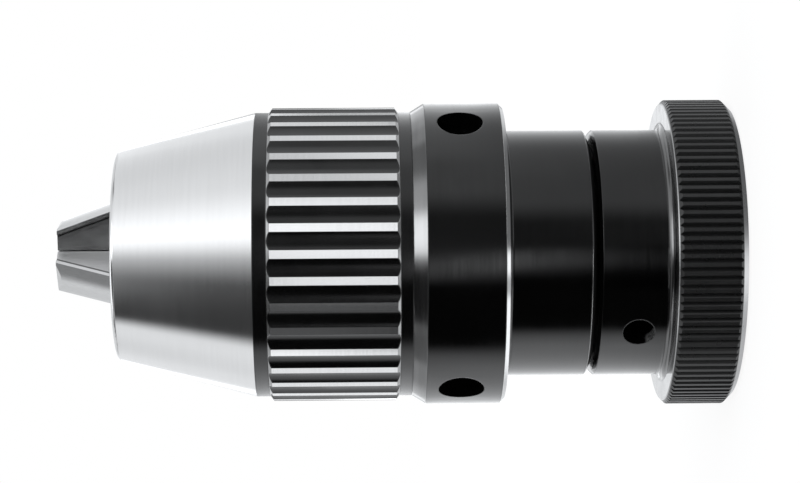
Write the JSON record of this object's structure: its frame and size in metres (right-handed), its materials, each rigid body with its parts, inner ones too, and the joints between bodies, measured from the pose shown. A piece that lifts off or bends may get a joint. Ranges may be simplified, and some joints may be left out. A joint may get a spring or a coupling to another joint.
{
  "type": "keyless drill chuck",
  "caption": "Keyless drill chuck: bright cone nose with closed jaws, fluted grip, black collar with pin spanner holes, knurled rear ring; turning the sleeve slides the jaws along a cone.",
  "frame": {"origin": "on the chuck's axis, at the centre of its rear face", "axes": "+Z along the chuck's axis towards the jaws; the picture was taken from -Y with +X up and the jaws to the left"},
  "size_m": [0.0506, 0.0506, 0.111],
  "materials": {
    "black_steel": "black oxide, polished",
    "knurl_steel": "black oxide over straight knurl",
    "ground_steel": "ground bright steel",
    "jaw_steel": "hardened and ground",
    "inner_steel": "machined, oiled",
    "ball_steel": "polished bearing steel",
    "cage_brass": "machined",
    "bush_bronze": "bored",
    "seal_rubber": "matt"
  },
  "bodies": {
    "body": {"chuck_body": "black_steel", "knurled_ring": "knurl_steel", "drive_spindle": "inner_steel", "spindle_pin": "inner_steel", "front_race": "ball_steel", "preload_shim": "inner_steel"},
    "sleeve": {"rear_sleeve": "black_steel", "journal_bush": "bush_bronze", "dust_seal": "seal_rubber", "rear_race": "ball_steel", "grip_sleeve": "black_steel", "guide_lock_ring": "inner_steel", "jaw_guide": "inner_steel", "nose_hood": "ground_steel"},
    "cage": {"ball_cage": "cage_brass", "thrust_balls": "ball_steel"},
    "carrier": {"jaw_carrier": "inner_steel"},
    "jaw_1": {"jaw_1": "jaw_steel"},
    "jaw_2": {"jaw_2": "jaw_steel"},
    "jaw_3": {"jaw_3": "jaw_steel"}
  },
  "joints": [
    {"name": "sleeve_turn", "type": "hinge", "parent": "body", "child": "sleeve", "pos_m": [0, 0, 0.05], "axis": [0, 0, 1], "range_deg": [0, 2160]},
    {"name": "cage_roll", "type": "hinge", "parent": "body", "child": "cage", "pos_m": [0, 0, 0.0428], "axis": [0, 0, 1], "range_deg": [0, 1081]},
    {"name": "carrier_feed", "type": "slide", "parent": "sleeve", "child": "carrier", "axis": [0, 0, 1], "range_m": [-0.01801, 0]},
    {"name": "jaw_1_slide", "type": "slide", "parent": "sleeve", "child": "jaw_1", "axis": [-0.333, 0.0781, 0.9397], "range_m": [-0.01917, 0]},
    {"name": "jaw_2_slide", "type": "slide", "parent": "sleeve", "child": "jaw_2", "axis": [0.0989, -0.3274, 0.9397], "range_m": [-0.01917, 0]},
    {"name": "jaw_3_slide", "type": "slide", "parent": "sleeve", "child": "jaw_3", "axis": [0.2341, 0.2493, 0.9397], "range_m": [-0.01917, 0]}
  ],
  "couplings": [
    {"joint": "cage_roll", "follows": "sleeve_turn", "ratio": 0.5},
    {"joint": "carrier_feed", "follows": "sleeve_turn", "m_per_rad": -0.00047746},
    {"joint": "jaw_1_slide", "follows": "sleeve_turn", "m_per_rad": -0.00050811},
    {"joint": "jaw_2_slide", "follows": "sleeve_turn", "m_per_rad": -0.00050811},
    {"joint": "jaw_3_slide", "follows": "sleeve_turn", "m_per_rad": -0.00050811}
  ]
}
